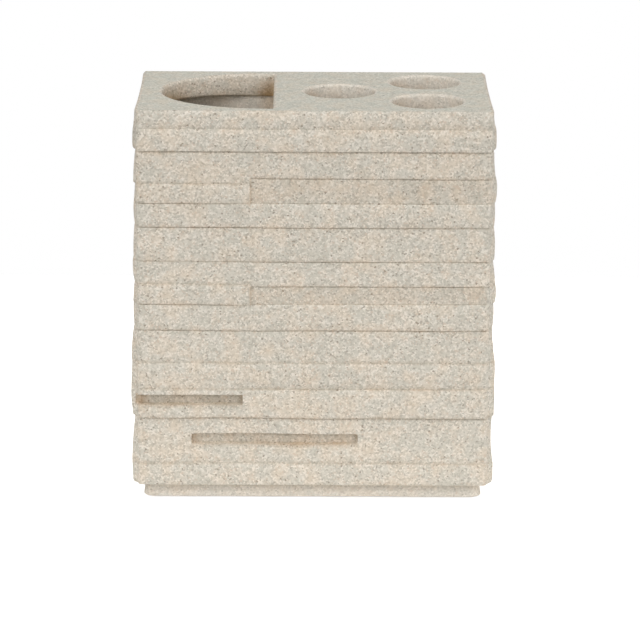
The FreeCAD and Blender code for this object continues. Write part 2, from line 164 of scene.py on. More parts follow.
def relief_tree():
    """Geometry nodes for a casting: the slow swells of its mould, and materials by the marks on faces."""
    tree = bpy.data.node_groups.new("cast_relief", "GeometryNodeTree")
    interface = tree.interface
    interface.new_socket("Geometry", in_out="INPUT", socket_type="NodeSocketGeometry")
    for label in ("Swell height", "Swell length", "Ripple height", "Ripple length", "Seed"):
        interface.new_socket(label, in_out="INPUT", socket_type="NodeSocketFloat")
    for label in ("Cast material", "Honed material painted cool", "Painted lighter material"):
        interface.new_socket(label, in_out="INPUT", socket_type="NodeSocketMaterial")
    interface.new_socket("Geometry", in_out="OUTPUT", socket_type="NodeSocketGeometry")
    given = add_node(tree, "NodeGroupInput").outputs
    place = add_node(tree, "GeometryNodeInputPosition").outputs[0]
    normal = add_node(tree, "GeometryNodeInputNormal").outputs[0]
    weight = add_node(
        tree, "GeometryNodeInputNamedAttribute", {"data_type": "FLOAT"}, {"Name": "relief"})
    heights = []
    for height, length in (("Swell height", "Swell length"), ("Ripple height", "Ripple length")):
        scale = add_node(tree, "ShaderNodeMath", {"operation": "DIVIDE"}, {0: 1.0, 1: given[length]})
        wave = add_node(tree, "ShaderNodeTexNoise", {"noise_dimensions": "4D"}, {
            "Vector": place, "W": given["Seed"], "Scale": scale.outputs[0], "Detail": 1.0})
        middle = add_node(tree, "ShaderNodeMath", {"operation": "SUBTRACT"}, {
            0: wave.outputs[0], 1: 0.5})
        lift = add_node(tree, "ShaderNodeMath", {"operation": "MULTIPLY"}, {
            0: middle.outputs[0], 1: given[height]})
        heights.append(lift.outputs[0])
    both = add_node(tree, "ShaderNodeMath", {"operation": "ADD"}, {0: heights[0], 1: heights[1]})
    amount = add_node(tree, "ShaderNodeMath", {"operation": "MULTIPLY"}, {
        0: both.outputs[0], 1: weight.outputs[0]})
    offset = add_node(tree, "ShaderNodeVectorMath", {"operation": "SCALE"}, {
        0: normal, "Scale": amount.outputs[0]})
    moved = add_node(tree, "GeometryNodeSetPosition", {}, {
        "Geometry": given["Geometry"], "Offset": offset.outputs[0]})
    real = add_node(tree, "GeometryNodeRealizeInstances", {}, {"Geometry": moved.outputs[0]})
    dressed = add_node(tree, "GeometryNodeSetMaterial", {}, {
        "Geometry": real.outputs[0], "Material": given["Cast material"]})
    for mark, label in (("honed", "Honed material painted cool"), ("painted_lighter", "Painted lighter material")):
        marked = add_node(
            tree, "GeometryNodeInputNamedAttribute", {"data_type": "BOOLEAN"}, {"Name": mark})
        dressed = add_node(tree, "GeometryNodeSetMaterial", {}, {
            "Geometry": dressed.outputs[0], "Selection": marked.outputs[0], "Material": given[label]})
    add_node(tree, "NodeGroupOutput", {}, {"Geometry": dressed.outputs[0]})
    return tree


def run_tree(name, mesh, tree, values):
    """A piece whose plain mesh is what a geometry node tree makes of a mesh."""
    source = bpy.data.objects.new(name + "_source", mesh)
    scene.collection.objects.link(source)
    modifier = source.modifiers.new("tree", "NODES")
    modifier.node_group = tree
    for item in tree.interface.items_tree:
        if item.in_out == "INPUT" and item.name in values:
            modifier[item.identifier] = values[item.name]
    graph = bpy.context.evaluated_depsgraph_get()
    made = bpy.data.meshes.new_from_object(source.evaluated_get(graph), depsgraph=graph)
    source.modifiers.remove(modifier)
    bpy.data.objects.remove(source)
    made.name = name
    piece = bpy.data.objects.new(name, made)
    scene.collection.objects.link(piece)
    return piece


relief = relief_tree()


def cast_piece(name, mesh, seed, cast, honed=None, painted_lighter=None):
    """A casting with the relief of its mould."""
    return run_tree(name, mesh, relief, {
        "Swell height": 0.30 * MM, "Swell length": 14.0 * MM,
        "Ripple height": 0.10 * MM, "Ripple length": 3.0 * MM,
        "Seed": seed, "Cast material": cast, "Honed material painted cool": honed or cast,
        "Painted lighter material": painted_lighter or cast})


def ring_places(front, corner, side):
    """Places round half a plan, by shares of the front, of a corner's turn and of the side."""
    places = [("front", share) for share in front]
    places += [("front_corner", step / corner) for step in range(1, corner)]
    places += [("side", share) for share in side]
    places += [("back_corner", step / corner) for step in range(1, corner)]
    return places


def plan_point(place, half_x, half_y, radius):
    """Point and outward normal at a place of a rounded rectangle."""
    face, share = place
    if face == "front":
        return Vector((share * (half_x - radius), -half_y, 0)), Vector((0, -1, 0))
    if face == "side":
        return Vector((half_x, share * (half_y - radius), 0)), Vector((1, 0, 0))
    turn = share * math.pi / 2
    if face == "front_corner":
        normal = Vector((math.sin(turn), -math.cos(turn), 0))
        centre = Vector((half_x - radius, radius - half_y, 0))
    else:
        normal = Vector((math.cos(turn), math.sin(turn), 0))
        centre = Vector((half_x - radius, half_y - radius, 0))
    return centre + radius * normal, normal


def plan_ring(places, half_x, half_y, radius, level, proud=None):
    """A closed row of points: half a plan and the same half turned round; proud adds to the outline."""
    ring = []
    for way in (1, -1):
        for place in places:
            point, normal = plan_point(place, half_x, half_y, radius)
            if proud:
                point += proud(place, way) * normal
            ring.append(Vector((way * point.x, way * point.y, level)))
    return ring


def even(count):
    """Shares from -1 to 1 in equal steps."""
    return [2 * step / count - 1 for step in range(count + 1)]


def bridge(form, lower, upper):
    """Quads between two closed rows of vertices."""
    for at in range(len(lower)):
        following = (at + 1) % len(lower)
        form.faces.new((lower[at], lower[following], upper[following], upper[at]))


def add_rows(form, rows, weight=0.0, painted_shade=None):
    """Vertices of closed rows, joined by quads; weight is how much of the mould's relief they take.

    The last argument tells, by the number of the row and of the point in it, how much brown painted shade
    darkens there."""
    layers = form.verts.layers.float
    relief_layer = layers.get("relief") or layers.new("relief")
    painted_shade_layer = layers.get("painted_shade") or layers.new("painted_shade")
    made = []
    for number, row in enumerate(rows):
        made.append([form.verts.new(point) for point in row])
        for at, vertex in enumerate(made[-1]):
            vertex[relief_layer] = weight
            vertex[painted_shade_layer] = painted_shade(number, at) if painted_shade else 0.0
    for lower, upper in zip(made, made[1:]):
        bridge(form, lower, upper)
    return made


def finish_mesh(form, name, crease=32.0):
    """A mesh in metres from one built in millimetres, smooth but for its sharp edges."""
    bmesh.ops.recalc_face_normals(form, faces=form.faces)
    bmesh.ops.scale(form, vec=(MM, MM, MM), verts=form.verts)
    mesh = bpy.data.meshes.new(name)
    form.to_mesh(mesh)
    form.free()
    mesh.shade_smooth()
    mesh.set_sharp_from_angle(angle=math.radians(crease))
    return mesh


def node_box(node):
    """Lowest and highest corner of a CAD node, in millimetres."""
    low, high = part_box(node)
    return low / MM, high / MM


def rounded_rise(radius, steps):
    """Pairs of how far in and how high the points of a rounded edge lie, from the flat to the wall."""
    angles = [step * math.pi / 2 / steps for step in range(steps + 1)]
    return [(radius * (1 - math.sin(angle)), radius * (1 - math.cos(angle))) for angle in angles]


# Steps of the mesh round a plain plan, along the front, round a corner and along the side
plain_places = ring_places(even(44), 8, even(24))
plinth_low, plinth_high = node_box("base_plinth")
shell_low, shell_high = node_box("body_shell")
seal_low, seal_high = node_box("base_seal")
plinth_corner = 3.0
plinth_edge = 0.6
plinth_draft = 0.5
plinth_relief = 0.6
shoulder_edge = 0.25
plug_inset = 2.4
plug_corner = 2.7
plug_edge = 0.6
wide_edge_steps = 5
edge_steps = 3
plinth_shoulder = seal_low.z


def plinth_ring(inward, corner, level):
    """A closed row round the plinth, set in from its widest outline."""
    return plan_ring(plain_places, plinth_high.x - inward, plinth_high.y - inward, corner, level)


form = bmesh.new()
rows = []
for inward, rise in rounded_rise(plinth_edge, wide_edge_steps):
    rows.append(plinth_ring(inward, plinth_corner, plinth_low.z + rise))
for inward, rise in reversed(rounded_rise(shoulder_edge, edge_steps)):
    rows.append(plinth_ring(plinth_draft + inward, plinth_corner, plinth_shoulder - rise))
rows.append(plinth_ring(plug_inset, plug_corner, plinth_shoulder))
for inward, rise in reversed(rounded_rise(plug_edge, edge_steps)):
    rows.append(plinth_ring(plug_inset + inward, plug_corner, plinth_high.z - rise))
made = add_rows(form, rows, plinth_relief)
form.faces.new(made[0])
form.faces.new(made[-1])
plinth_mesh = finish_mesh(form, "base_plinth")
# The plinth is painted lighter, for the light that the white floor throws up under the shell
plinth = cast_piece("plinth_casting", plinth_mesh, seed=3.0, cast=painted_lighter_resin)
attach(plinth, "holder")
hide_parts("base_plinth")

# Foot pads
# Four round pads of dense foam, die-cut from sheet and stuck in shallow seats under the plinth.
# They keep the holder from sliding and from scratching the shelf.
pad_low, pad_high = node_box("foot_pad_front_right")
pad_radius = (pad_high.x - pad_low.x) / 2
pad_height = pad_high.z - pad_low.z


def pads_tree():
    """Geometry nodes for the pads: a disc with a softened lower edge at each corner of a rectangle."""
    tree = bpy.data.node_groups.new("foot_pads", "GeometryNodeTree")
    interface = tree.interface
    interface.new_socket("Geometry", in_out="INPUT", socket_type="NodeSocketGeometry")
    for label in ("Radius", "Height", "Soft edge", "Spacing X", "Spacing Y"):
        interface.new_socket(label, in_out="INPUT", socket_type="NodeSocketFloat")
    interface.new_socket("Material", in_out="INPUT", socket_type="NodeSocketMaterial")
    interface.new_socket("Geometry", in_out="OUTPUT", socket_type="NodeSocketGeometry")
    given = add_node(tree, "NodeGroupInput").outputs
    disc = add_node(tree, "GeometryNodeMeshCylinder", {}, {
        "Vertices": 48, "Side Segments": 10, "Fill Segments": 4,
        "Radius": given["Radius"], "Depth": given["Height"]})
    half = add_node(tree, "ShaderNodeMath", {"operation": "DIVIDE"}, {0: given["Height"], 1: 2.0})
    lift = add_node(tree, "ShaderNodeCombineXYZ", {}, {"Z": half.outputs[0]})
    stood = add_node(tree, "GeometryNodeTransform", {}, {
        "Geometry": disc.outputs["Mesh"], "Translation": lift.outputs[0]})
    place = add_node(tree, "GeometryNodeInputPosition").outputs[0]
    axes = add_node(tree, "ShaderNodeSeparateXYZ", {}, {0: place}).outputs
    # Below the soft edge's height the disc draws in along a quarter circle
    below = add_node(tree, "ShaderNodeMath", {"operation": "SUBTRACT", "use_clamp": True}, {
        0: 1.0, 1: add_node(tree, "ShaderNodeMath", {"operation": "DIVIDE"}, {
            0: axes["Z"], 1: given["Soft edge"]}).outputs[0]})
    square = add_node(tree, "ShaderNodeMath", {"operation": "POWER"}, {0: below.outputs[0], 1: 2.0})
    left_over = add_node(tree, "ShaderNodeMath", {"operation": "SUBTRACT"}, {
        0: 1.0, 1: square.outputs[0]})
    arc = add_node(tree, "ShaderNodeMath", {"operation": "SQRT"}, {0: left_over.outputs[0]})
    inward = add_node(tree, "ShaderNodeMath", {"operation": "SUBTRACT"}, {0: arc.outputs[0], 1: 1.0})
    edge_share = add_node(tree, "ShaderNodeMath", {"operation": "DIVIDE"}, {
        0: given["Soft edge"], 1: given["Radius"]})
    shrink = add_node(tree, "ShaderNodeMath", {"operation": "MULTIPLY"}, {
        0: inward.outputs[0], 1: edge_share.outputs[0]})
    flat = add_node(tree, "ShaderNodeCombineXYZ", {}, {"X": axes["X"], "Y": axes["Y"]})
    pull = add_node(tree, "ShaderNodeVectorMath", {"operation": "SCALE"}, {
        0: flat.outputs[0], "Scale": shrink.outputs[0]})
    pad = add_node(tree, "GeometryNodeSetPosition", {}, {
        "Geometry": stood.outputs[0], "Offset": pull.outputs[0]})
    corners = add_node(tree, "GeometryNodeMeshGrid", {}, {
        "Size X": given["Spacing X"], "Size Y": given["Spacing Y"], "Vertices X": 2, "Vertices Y": 2})
    spread_out = add_node(tree, "GeometryNodeInstanceOnPoints", {}, {
        "Points": corners.outputs["Mesh"], "Instance": pad.outputs[0]})
    real = add_node(tree, "GeometryNodeRealizeInstances", {}, {"Geometry": spread_out.outputs[0]})
    dressed = add_node(tree, "GeometryNodeSetMaterial", {}, {
        "Geometry": real.outputs[0], "Material": given["Material"]})
    add_node(tree, "NodeGroupOutput", {}, {"Geometry": dressed.outputs[0]})
    return tree


def foam_rubber():
    """Closed-cell foam rubber: dull grey, with cut cells that show as fine pores."""
    material, tree = empty_material("closed_cell_foam")
    place = add_node(tree, "ShaderNodeTexCoord").outputs["Object"]
    cell_size = 0.35
    cells = add_node(tree, "ShaderNodeTexVoronoi", {}, {"Vector": place, "Scale": 1 / (cell_size * MM)})
    shade = add_node(tree, "ShaderNodeMix", {"data_type": "RGBA"}, {
        0: cells.outputs["Distance"], 6: colour("#77736B"), 7: colour("#948F86")})
    pores = add_node(tree, "ShaderNodeBump", {}, {
        "Strength": 0.5, "Distance": 0.1 * MM, "Height": cells.outputs["Distance"]})
    shader = add_node(tree, "ShaderNodeBsdfPrincipled", {}, {
        "Base Color": shade.outputs[2], "Roughness": 0.9, "IOR": 1.5,
        "Normal": pores.outputs["Normal"]})
    add_node(tree, "ShaderNodeOutputMaterial", {}, {"Surface": shader.outputs["BSDF"]})
    return material


pads = run_tree("foam_pads", bpy.data.meshes.new("pads_seed"), pads_tree(), {
    "Radius": pad_radius * MM, "Height": pad_height * MM, "Soft edge": 0.5 * MM,
    "Spacing X": 2 * (pad_high.x - pad_radius) * MM, "Spacing Y": -2 * (pad_low.y + pad_radius) * MM,
    "Material": foam_rubber()})
pad_crease = 40.0
pads.data.set_sharp_from_angle(angle=math.radians(pad_crease))
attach(pads, "holder")
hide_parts("foot_pad_front_left", "foot_pad_front_right",
            "foot_pad_rear_left", "foot_pad_rear_right")

# Base seal
# A bead of silicone run round the plug and squeezed flat when the shell is set down on the plinth.
# It shows only as a soft line in the shadow under the shell.
seal_gap = 0.15
seal_width = seal_high.x - (plinth_high.x - plug_inset) - seal_gap
seal_bulge = 0.2
seal_height = seal_high.z - seal_low.z


def silicone():
    """Cured silicone sealant: smooth, a little waxy, faintly cloudy."""
    material, tree = empty_material("silicone_sealant")
    place = add_node(tree, "ShaderNodeTexCoord").outputs["Object"]
    cloud_size = 6.0
    clouds = add_node(tree, "ShaderNodeTexNoise", {}, {"Vector": place, "Scale": 1 / (cloud_size * MM)})
    shade = add_node(tree, "ShaderNodeMix", {"data_type": "RGBA"}, {
        0: clouds.outputs["Fac"], 6: colour("#B9B2A4"), 7: colour("#C9C2B4")})
    gloss = add_node(tree, "ShaderNodeMapRange", {}, {
        "Value": clouds.outputs["Fac"], "To Min": 0.35, "To Max": 0.5})
    shader = add_node(tree, "ShaderNodeBsdfPrincipled", {}, {
        "Base Color": shade.outputs[2], "Roughness": gloss.outputs["Result"], "IOR": 1.41})
    add_node(tree, "ShaderNodeOutputMaterial", {}, {"Surface": shader.outputs["BSDF"]})
    return material


form = bmesh.new()
rows = []
bead_steps = 6
for step in range(bead_steps + 1):
    turn = math.pi * step / bead_steps
    reach_out = seal_high.x - seal_bulge + seal_bulge * math.sin(turn)
    level = seal_low.z + seal_height * (1 - math.cos(turn)) / 2
    reach_back = reach_out - seal_high.x + seal_high.y
    rows.append(plan_ring(plain_places, reach_out, reach_back, plinth_corner, level))
inner = (seal_high.x - seal_width, seal_high.y - seal_width, plug_corner)
rows.append(plan_ring(plain_places, *inner, seal_high.z))
rows.append(plan_ring(plain_places, *inner, seal_low.z))
made = add_rows(form, rows)
bridge(form, made[-1], made[0])
seal = bpy.data.objects.new("sealant_bead", finish_mesh(form, "sealant_bead"))
scene.collection.objects.link(seal)
seal.data.materials.append(silicone())
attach(seal, "holder")
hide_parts("base_seal")

# Body shell
# The hollow casting of uneven courses with two sawn slots; its back is laid like its front. Cast in resin
# filled with sand, in a rubber mould; a brown painted shade darkens its joints, recesses and slots.
bulge_room = 2.2
face_room = 0.65
corner_line = shell_high.x - bulge_room
face_line = shell_high.y - face_room
shell_corner = 1.2
flat_run = corner_line - shell_corner
side_run = face_line - shell_corner
shell_foot = shell_low.z
seam = shell_high.z

# Courses from the foot up: height; how far the face stands proud at foot and head; how far a worn edge
# reaches from foot and head, 0 for a crisp edge; how far the side bulges past the corner line at foot,
# middle and head, at the front left and at the front right
COURSES = [
    (6.8, (0.50, 0.25), (0.0, 2.2), (1.8, 1.85, 2.05), (1.85, 2.0, 2.0)),
    (15.1, (0.10, -0.20), (2.0, 0.0), (2.05, 1.7, 1.0), (1.9, 1.2, 1.5)),
    (9.2, (0.45, 0.30), (0.0, 2.2), (1.6, 2.05, 2.05), (2.0, 2.05, 2.0)),
    (8.5, (0.10, 0.30), (3.5, 2.4), (2.05, 1.9, 1.8), (1.9, 2.05, 2.05)),
    (10.7, (0.10, -0.05), (1.8, 0.0), (2.0, 1.8, 1.2), (2.0, 1.3, 1.0)),
    (8.3, (0.22, 0.20), (0.0, 2.2), (0.9, 1.2, 1.2), (1.0, 1.4, 1.2)),
    (5.9, (-0.38, -0.10), (0.0, 0.0), (1.3, 1.1, 0.9), (1.6, 2.0, 1.8)),
    (7.9, (0.20, -0.13), (0.0, 0.0), (0.8, 1.3, 1.3), (1.7, 1.3, 0.8)),
    (10.8, (0.20, 0.00), (0.0, 0.0), (1.0, 1.1, 0.8), (1.2, 1.4, 0.9)),
    (7.5, (0.25, 0.15), (0.0, 2.2), (0.6, 1.0, 0.9), (1.0, 1.2, 1.0)),
    (8.0, (-0.36, -0.04), (0.0, 0.0), (0.9, 0.6, 0.4), (1.2, 1.7, 1.3)),
    (8.5, (0.20, 0.15), (0.0, 0.0), (1.0, 0.8, 0.3), (1.1, 0.7, 0.6)),
]
# Courses that differ left of the blocks' ends, by number from the foot up: height, face and worn edges
block_end = -19.6
block_end_soft = 0.15
set_back_courses = (7, 11)
BLOCKS = {
    6: (8.3, (0.22, 0.05), (0.0, 0.0)),
    7: (6.3, (0.35, 0.35), (0.0, 2.0)),
    8: (7.5, (0.10, -0.13), (1.4, 0.0)),
    10: (7.5, (0.25, 0.08), (0.0, 0.0)),
    11: (6.0, (0.25, 0.35), (0.0, 2.0)),
    12: (10.5, (0.10, 0.15), (1.6, 0.0)),
}


def lay(courses, foot):
    """Courses stacked from a level: foot, head, face, worn edges, left side and right side."""
    laid = []
    for height, *shape in courses:
        laid.append((foot, foot + height, *shape))
        foot += height
    return laid


right_stack = lay(COURSES, shell_foot)
left_stack = lay([
    (*BLOCKS.get(number, course[:3]), *course[3:]) for number, course in enumerate(COURSES, 1)
], shell_foot)


def ease(low, high, value):
    """Smooth step from 0 at low to 1 at high."""
    share = min(max((value - low) / (high - low), 0.0), 1.0)
    return share * share * (3 - 2 * share)


def round_off(distance, radius):
    """How far a rounded edge has fallen back at a distance from it."""
    if distance >= radius:
        return 0.0
    return radius - math.sqrt(max(radius * radius - (radius - max(distance, 0.0)) ** 2, 0.0))


def wear_off(distance, reach, slope):
    """How far a worn edge has fallen back at a distance from it; at the edge it leans by the slope."""
    return slope * reach / 2 * max(1 - distance / reach, 0.0) ** 2


foot_round = 0.25
head_round = 0.30
foot_slope = 0.28
head_slope = 0.34


def face_profile(stack, level, joint_strength):
    """How far the face stands proud at a level; joint_strength tells how sharply a joint is cut."""
    at = next((number for number, row in enumerate(stack) if level <= row[1]), len(stack) - 1)
    foot, head, (low, high), (worn_foot, worn_head), _, _ = stack[at]
    share = (level - foot) / (head - foot)
    cut = low + (high - low) * share
    edges = (
        (level - foot, worn_foot, foot_slope, foot_round),
        (head - level, worn_head, head_slope, head_round),
    )
    for distance, worn, slope, radius in edges:
        cut -= wear_off(distance, worn, slope) if worn else round_off(distance, radius)
    middle = (low + high) / 2
    joint, beside = (at, at - 1) if share < 0.5 else (at + 1, at + 1)
    if 0 <= beside < len(stack):
        other_foot, other_head, (other_low, other_high), *_ = stack[beside]
        span = abs((other_foot + other_head) - (foot + head)) / 2
        run = abs(level - (foot + head) / 2) / span
        merged = middle + ((other_low + other_high) / 2 - middle) * run
        return merged + (cut - merged) * joint_strength(joint)
    return cut


side_start = 2.5


def side_profile(stack, level, leftness):
    """How far the side bulges past the corner line at a level.

    leftness goes from 0 at the right end of a face to 1 at the left end of the next one."""
    foot, head, _, _, left, right = next((row for row in stack if level <= row[1]), stack[-1])
    share = (level - foot) / (head - foot)
    bulges = []
    for low, middle, high in (right, left):
        bulges.append(low * (1 - share) * (1 - 2 * share) + 4 * middle * share * (1 - share)
                      + high * share * (2 * share - 1))
    bulge = bulges[0] + (bulges[1] - bulges[0]) * leftness
    bulge -= round_off(level - foot, foot_round) + round_off(head - level, head_round)
    return bulge * ease(0.0, side_start, side_run * (1 - abs(2 * leftness - 1)))


# Joints that fade, by the number of courses below them: how faint they get, and over which stretch of the
# face; the wavy one comes and goes along the face with a cosine
left_faint_joint = 3
left_faint = 0.4
left_faint_run = (-27.0, -17.0)
block_joints = (6, 10, 11)
block_faint = 0.2
block_faint_run = (-27.0, -22.0)
wavy_joint = 8
wavy_share = 0.3
wavy_run = 12.0


def joint_cut(stack_name, x):
    """How sharply each joint is cut at a place along the face, by the number of courses below it."""
    def strength(joint):
        if joint == left_faint_joint:
            return left_faint + (1 - left_faint) * ease(*left_faint_run, x)
        if stack_name == "left" and joint in block_joints:
            return 1 - (1 - block_faint) * ease(*block_faint_run, x)
        if joint == wavy_joint:
            return 1 - wavy_share + wavy_share * math.cos(x / wavy_run)
        return 1.0
    return strength


# Slots: depth behind the face line, levels of the lower and upper edge, ends along the face
slot_depth = 1.4
corner_slot = (31.6, 34.6)
corner_slot_end = -22.1
corner_slot_return = 2.0
long_slot = (18.7, 22.0)
long_slot_ends = (-38.1, 14.1)
slot_edge = 0.12
slot_round = 1.2


def between(low, high, value, soft):
    """1 inside a range and 0 outside, with soft ends."""
    return ease(low - soft, low + soft, value) * (1 - ease(high - soft, high + soft, value))


def slot_cut(place, level):
    """1 where a slot is cut into the skin and 0 elsewhere; the first slot runs round the left corner."""
    face, share = place
    in_corner_slot = between(*corner_slot, level, slot_edge)
    in_long_slot = 0.0
    if face == "front":
        along = share * flat_run
        in_corner_slot *= 1 - ease(corner_slot_end - slot_edge, corner_slot_end + slot_edge, along)
        past_end = abs(along - sum(long_slot_ends) / 2) - (long_slot_ends[1] - long_slot_ends[0]) / 2
        past_edge = abs(level - sum(long_slot) / 2) - (long_slot[1] - long_slot[0]) / 2
        off = math.hypot(max(past_end + slot_round, 0.0), max(past_edge + slot_round, 0.0))
        in_long_slot = 1 - ease(slot_round - slot_edge, slot_round + slot_edge, off)
    elif face == "side":
        past_return = share * side_run - (face_line - corner_slot_return)
        in_corner_slot *= ease(-slot_edge, slot_edge, past_return)
    elif face == "front_corner":
        in_corner_slot = 0.0
    return max(in_corner_slot, in_long_slot)


def front_share(place):
    """How much of the face's profile a place of the plan takes: all on a face and none on a side."""
    face, share = place
    turn = share * math.pi / 2
    shares = {"front": 1.0, "side": 0.0, "front_corner": math.cos(turn) ** 2}
    return shares.get(face, math.sin(turn) ** 2)


def along_face(place):
    """Where a place of the plan lies along the face; a side counts from the right end to the left."""
    face, share = place
    reaches = {"front": share * flat_run, "front_corner": corner_line, "side": -share * corner_line}
    return reaches.get(face, -corner_line)


def shell_proud(place, level):
    """How far the shell's skin stands from the rounded rectangle at a place of the plan and a level."""
    face, share = place
    along = along_face(place)
    front_weight = front_share(place)
    left_share = 1 - ease(block_end - block_end_soft, block_end + block_end_soft, along)
    proud = 0.0
    if front_weight > 0:
        profile = 0.0
        if left_share > 0:
            profile += left_share * face_profile(left_stack, level, joint_cut("left", along))
        if left_share < 1:
            profile += (1 - left_share) * face_profile(right_stack, level, joint_cut("right", along))
        proud += front_weight * profile
    if face == "side":
        leftness = (share + 1) / 2
        proud += side_profile(left_stack if leftness > 0.5 else right_stack, level, leftness)
    floor = -slot_depth * front_weight - shell_corner * (1 - front_weight)
    return proud + (floor - proud) * slot_cut(place, level)


# Brown painted shade where joints, recesses and slots fall into shade, from 0 for none to 1 for the full
# brown, and how far it reaches from where it is darkest
joint_painted_shade = 0.20
over_joint_reach = 1.3
under_joint_reach = 0.6
# At the seam the painted shade stands for the shadow under the cover's lower edge
seam_painted_shadow = 0.22
seam_reach = 2.0
recess_painted_shade = 0.12
# At the blocks' ends it stands for the shadow beside the step
block_end_painted_shadow = 0.45
end_reach = 0.8
slot_painted_shade = 0.25
slot_end_painted_shade = 0.72
slot_end_reach = 2.0
slot_end_spill = 0.2
ledge_painted_shade = 0.52
ledge_reach = 0.9
ledge_spill = 1.3


def near(edge, value, reach):
    """1 at an edge, falling softly to 0 at a reach from it."""
    return 1 - ease(0.0, reach, abs(value - edge))


def shell_painted_shade(place, level):
    """How much brown painted shade darkens the skin: in joints, recesses and slots, and at the blocks'
    ends.
    """
    face, share = place
    along = along_face(place)
    stack = left_stack if along < block_end else right_stack
    painted_shade = 0.0
    for foot, _, (low, _), *_ in stack[1:]:
        if low > 0:
            reach = over_joint_reach if level > foot else under_joint_reach
            painted_shade = max(painted_shade, joint_painted_shade * near(foot, level, reach))
    painted_shade = max(painted_shade, seam_painted_shadow * near(seam, level, seam_reach))
    for number in set_back_courses:
        foot, head, *_ = right_stack[number - 1]
        if face == "front" and foot < level < head:
            set_back = recess_painted_shade if along > block_end else 0.0
            painted_shade = max(painted_shade, set_back, block_end_painted_shadow * near(block_end, along, end_reach))
    slots = ((corner_slot, (-flat_run, corner_slot_end)), (long_slot, long_slot_ends))
    for (low, high), ends in slots:
        if level < low:
            painted_shade_amount = ledge_painted_shade * near(low, level, ledge_spill)
        elif level < high:
            at_end = max(near(end, max(along, -flat_run), slot_end_reach) for end in ends)
            painted_shade_amount = slot_painted_shade + (slot_end_painted_shade - slot_painted_shade) * at_end
            painted_shade_amount = max(painted_shade_amount, ledge_painted_shade * near(low, level, ledge_reach))
        else:
            painted_shade_amount = 0.0
        shifted = (face, share + slot_end_spill / side_run) if face == "side" else place
        painted_shade = max(painted_shade, painted_shade_amount * slot_cut(shifted, (low + high) / 2))
    return painted_shade


least_step = 0.02


def spread(low, high, step, edges, offsets):
    """Places from low to high about a step apart, with more of them by the offsets from each edge."""
    count = math.ceil((high - low) / step)
    places = [low + (high - low) * at / count for at in range(count + 1)]
    fine = [edge + by for edge in edges for by in offsets if low < edge + by < high]
    reach = max(offsets)
    coarse = []
    for place in places:
        if place in (low, high) or all(abs(place - edge) > reach for edge in edges):
            coarse.append(place)
    merged = []
    for place in sorted(coarse + fine):
        if not merged or place - merged[-1] > least_step:
            merged.append(place)
    merged[-1] = high
    return merged


divider_low, divider_high = node_box("divider_panel")
cavity_x = 51.2
cavity_y = 28.0
cavity_corner = 3.0
groove_gap = 0.2
groove_depth = 1.0
groove_flank = 0.03
groove = (divider_low.x - groove_gap, divider_high.x + groove_gap)
inner_run = cavity_x - cavity_corner
groove_edges = [way * edge / inner_run * flat_run for edge in groove for way in (1, -1)]
feature_edges = [block_end, corner_slot_end, *long_slot_ends]

# Places of the mesh: steps on plain faces, and finer ones by these offsets from edges and joints
front_step = 2.0
side_step = 2.4
level_step = 0.8
corner_steps = 6
near_edge = (-0.9, -0.4, -0.2, -0.1, 0.0, 0.1, 0.2, 0.4, 0.9)
near_joint = (-0.5, -0.2, -0.06, -0.005, 0.005, 0.06, 0.2, 0.5)
front_marks = spread(-flat_run, flat_run, front_step, feature_edges, near_edge)
front_marks += [edge + by for edge in groove_edges for by in (-groove_flank, groove_flank)]
front_shares = [mark / flat_run for mark in sorted(front_marks)]
side_marks = spread(-side_run, side_run, side_step, [face_line - corner_slot_return], near_edge)
shell_places = ring_places(front_shares, corner_steps, [mark / side_run for mark in side_marks])
joint_levels = sorted({row[0] for row in left_stack[1:]} | {row[0] for row in right_stack[1:]})
course_levels = spread(shell_foot, seam, level_step, joint_levels, near_joint)
slot_levels = [edge + by for edge in (*corner_slot, *long_slot) for by in near_edge[1:-1]]
shell_levels = sorted({*course_levels, *slot_levels})


def skin_rows(places, levels, proud):
    """Closed rows of a skin that stands proud of the rounded rectangle, by the place and the level."""
    rows = []
    for level in levels:
        rows.append(plan_ring(places, corner_line, face_line, shell_corner, level,
                              lambda place, way: proud(place, level)))
    return rows


form = bmesh.new()
shell_rows = skin_rows(shell_places, shell_levels, shell_proud)
# The courses wander up and down a little, but not at the foot and the seam
wander = 0.22
wander_length = 22.0
wander_squash = 0.5
wander_fade = 5.0
for row in shell_rows:
    for point in row:
        ends = ease(0.0, wander_fade, point.z - shell_foot) * ease(0.0, wander_fade, seam - point.z)
        spot = Vector((point.x, point.y, point.z * wander_squash)) / wander_length
        point.z += wander * ends * noise.noise(spot)
# The painted shade is stronger in some places than in others
painted_shade_mean = 0.8
painted_shade_swing = 0.6
painted_shade_patch = 7.0


def shell_row_painted_shade(number, at):
    """The shell's painted shade at a point of a row, stronger in some places than in others."""
    painted_shade_amount = shell_painted_shade(shell_places[at % len(shell_places)], shell_levels[number])
    return painted_shade_amount * (painted_shade_mean + painted_shade_swing * noise.noise(shell_rows[number][at] / painted_shade_patch))


shell_relief = 1.0
outer = add_rows(form, shell_rows, shell_relief, shell_row_painted_shade)
rebate = 2.2
rebate_depth = 3.3
rebate_floor = seam - rebate_depth
plug_top = plinth_high.z
groove_foot = plug_top - least_step


def in_groove(place, way):
    """How far the divider's grooves are cut into the wall of the cavity."""
    face, share = place
    x = way * share * inner_run
    return groove_depth if face == "front" and groove[0] < x < groove[1] else 0.0


